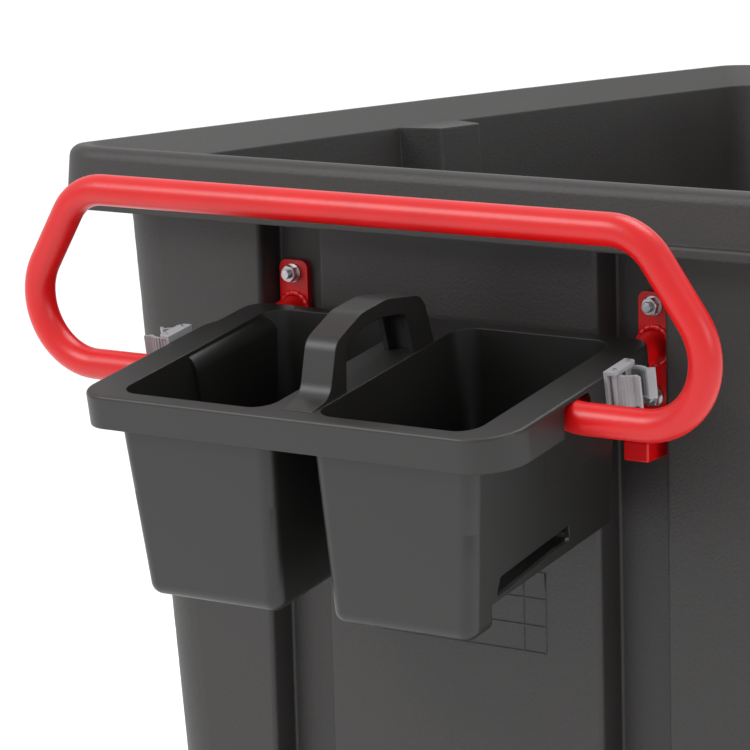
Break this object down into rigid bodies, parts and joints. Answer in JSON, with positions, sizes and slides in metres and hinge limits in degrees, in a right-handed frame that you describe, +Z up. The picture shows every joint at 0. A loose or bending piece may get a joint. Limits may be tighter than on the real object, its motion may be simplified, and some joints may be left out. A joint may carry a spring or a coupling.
{
  "type": "housekeeping cart",
  "caption": "Wheeled tub cart with a looped tube push handle, a lift-off two-bin caddy with tool clips, and swivel casters with brakes.",
  "frame": {"origin": "on the floor under the middle of the tub's own length and width", "axes": "+X to the cart's right seen from the handle end, +Y away from the handle end, +Z up"},
  "size_m": [0.732, 1.2407, 1.08],
  "materials": {
    "tub_plastic": "grained matte",
    "caddy_plastic": "satin",
    "red_paint": "gloss powder coat",
    "grey_rubber": "matte",
    "hub_plastic": "matte",
    "clip_plastic": "satin",
    "black_rubber": "matte",
    "pedal_steel": "gloss",
    "zinc_steel": "bright zinc"
  },
  "bodies": {
    "cart": {"backing_plate_left": "zinc_steel", "backing_plate_right": "zinc_steel", "bracket_bolts": "zinc_steel", "bracket_foot_left": "red_paint", "bracket_foot_right": "red_paint", "bracket_nuts": "zinc_steel", "bracket_plate_left": "red_paint", "bracket_plate_right": "red_paint", "bracket_washers": "zinc_steel", "caster_bolts": "zinc_steel", "caster_nuts": "zinc_steel", "far_left_axle": "zinc_steel", "far_left_axle_nut": "zinc_steel", "far_left_bracket": "zinc_steel", "far_right_axle": "zinc_steel", "far_right_axle_nut": "zinc_steel", "far_right_bracket": "zinc_steel", "handle_tube": "red_paint", "near_left_kingpin": "zinc_steel", "near_left_top_plate": "zinc_steel", "near_right_kingpin": "zinc_steel", "near_right_top_plate": "zinc_steel", "tub": "tub_plastic"},
    "caddy_unit": {"caddy": "caddy_plastic", "caddy_handle": "caddy_plastic", "clip_base_right": "clip_plastic", "clip_base_left": "clip_plastic", "clip_pins_right": "zinc_steel", "clip_pins_left": "zinc_steel", "clip_screws": "zinc_steel"},
    "front_jaw_right": {"clip_front_jaw_right": "clip_plastic", "clip_front_pad_right": "black_rubber"},
    "rear_jaw_right": {"clip_rear_jaw_right": "clip_plastic", "clip_rear_pad_right": "black_rubber"},
    "near_fork_right": {"near_right_fork": "zinc_steel", "near_right_axle": "zinc_steel", "near_right_axle_nut": "zinc_steel"},
    "near_wheel_right": {"near_right_tyre": "grey_rubber", "near_right_hub": "hub_plastic"},
    "near_pedal_right": {"near_right_pedal": "pedal_steel"},
    "far_wheel_right": {"far_right_tyre": "grey_rubber", "far_right_hub": "hub_plastic"},
    "front_jaw_left": {"clip_front_jaw_left": "clip_plastic", "clip_front_pad_left": "black_rubber"},
    "rear_jaw_left": {"clip_rear_jaw_left": "clip_plastic", "clip_rear_pad_left": "black_rubber"},
    "near_fork_left": {"near_left_fork": "zinc_steel", "near_left_axle": "zinc_steel", "near_left_axle_nut": "zinc_steel"},
    "near_wheel_left": {"near_left_tyre": "grey_rubber", "near_left_hub": "hub_plastic"},
    "near_pedal_left": {"near_left_pedal": "pedal_steel"},
    "far_wheel_left": {"far_left_tyre": "grey_rubber", "far_left_hub": "hub_plastic"}
  },
  "joints": [
    {"name": "swivel_right", "type": "hinge", "parent": "cart", "child": "near_fork_right", "pos_m": [0.178, -0.359, 0.17], "axis": [0, 0, 1], "continuous": true},
    {"name": "near_wheel_spin_right", "type": "hinge", "parent": "near_fork_right", "child": "near_wheel_right", "pos_m": [0.178, -0.395, 0.075], "axis": [1, 0, 0], "continuous": true},
    {"name": "brake_pedal_right", "type": "hinge", "parent": "near_fork_right", "child": "near_pedal_right", "pos_m": [0.178, -0.419, 0.161], "axis": [1, 0, 0], "range_deg": [0, 7], "stiffness_Nm_per_rad": 1, "springref_deg": -8.59},
    {"name": "far_wheel_spin_right", "type": "hinge", "parent": "cart", "child": "far_wheel_right", "pos_m": [0.178, 0.359, 0.075], "axis": [1, 0, 0], "continuous": true},
    {"name": "swivel_left", "type": "hinge", "parent": "cart", "child": "near_fork_left", "pos_m": [-0.178, -0.359, 0.17], "axis": [0, 0, 1], "continuous": true},
    {"name": "near_wheel_spin_left", "type": "hinge", "parent": "near_fork_left", "child": "near_wheel_left", "pos_m": [-0.178, -0.395, 0.075], "axis": [1, 0, 0], "continuous": true},
    {"name": "brake_pedal_left", "type": "hinge", "parent": "near_fork_left", "child": "near_pedal_left", "pos_m": [-0.178, -0.419, 0.161], "axis": [1, 0, 0], "range_deg": [0, 7], "stiffness_Nm_per_rad": 1, "springref_deg": -8.59},
    {"name": "far_wheel_spin_left", "type": "hinge", "parent": "cart", "child": "far_wheel_left", "pos_m": [-0.178, 0.359, 0.075], "axis": [1, 0, 0], "continuous": true},
    {"name": "caddy_lift", "type": "slide", "parent": "cart", "child": "caddy_unit", "axis": [0, -0.2045, 0.9789], "range_m": [0, 0.045]},
    {"name": "clip_front_jaw_right", "type": "hinge", "parent": "caddy_unit", "child": "front_jaw_right", "pos_m": [0.1807, -0.57605, 0.9501], "axis": [0, 0.2045, -0.9789], "range_deg": [0, 20], "stiffness_Nm_per_rad": 0.3, "springref_deg": -5.73},
    {"name": "clip_rear_jaw_right", "type": "hinge", "parent": "caddy_unit", "child": "rear_jaw_right", "pos_m": [0.1807, -0.55844, 0.95378], "axis": [0, -0.2045, 0.9789], "range_deg": [0, 20], "stiffness_Nm_per_rad": 0.3, "springref_deg": -5.73},
    {"name": "clip_front_jaw_left", "type": "hinge", "parent": "caddy_unit", "child": "front_jaw_left", "pos_m": [-0.1807, -0.59465, 0.94622], "axis": [0, -0.2045, 0.9789], "range_deg": [0, 20], "stiffness_Nm_per_rad": 0.3, "springref_deg": -5.73},
    {"name": "clip_rear_jaw_left", "type": "hinge", "parent": "caddy_unit", "child": "rear_jaw_left", "pos_m": [-0.1807, -0.57703, 0.9499], "axis": [0, 0.2045, -0.9789], "range_deg": [0, 20], "stiffness_Nm_per_rad": 0.3, "springref_deg": -5.73}
  ]
}
